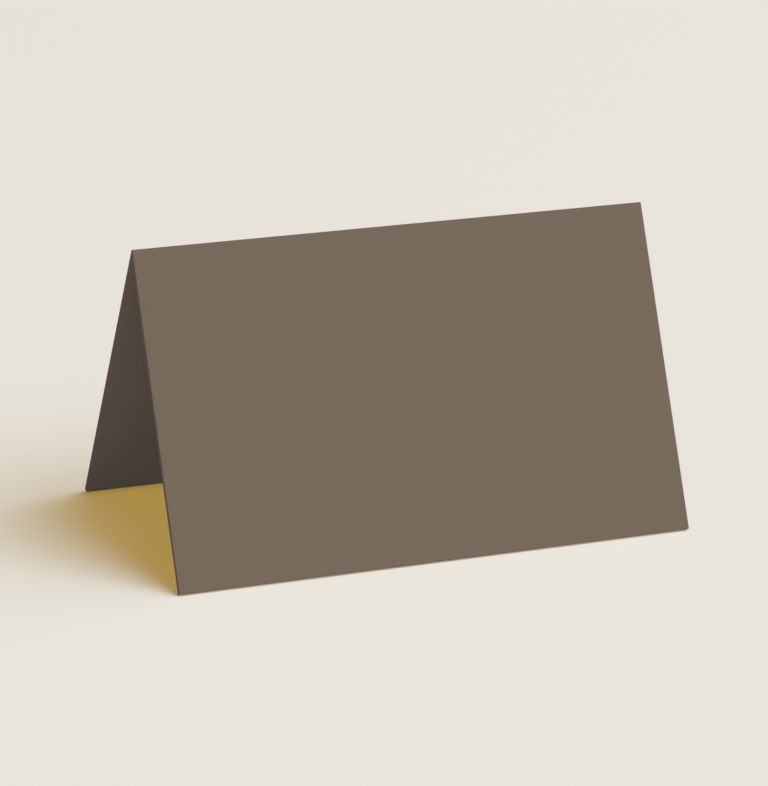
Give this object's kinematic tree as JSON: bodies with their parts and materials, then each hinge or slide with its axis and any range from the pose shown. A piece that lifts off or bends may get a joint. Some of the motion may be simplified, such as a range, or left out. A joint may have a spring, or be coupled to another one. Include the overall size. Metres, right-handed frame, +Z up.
{
  "type": "place card",
  "caption": "Blank tent-fold place card: one sheet of thick uncoated taupe board, creased across the middle, standing on its two cut edges.",
  "frame": {"origin": "middle of the footprint, on the surface that the card stands on", "axes": "+X along the fold, +Y from the front panel towards the back panel, +Z up; the front panel looks towards -Y and leans back to the fold"},
  "size_m": [0.089, 0.0482, 0.0497],
  "materials": {
    "card": "uncoated matt, dyed taupe through the thickness"
  },
  "bodies": {
    "root": {"folded_card": "card"}
  },
  "joints": []
}
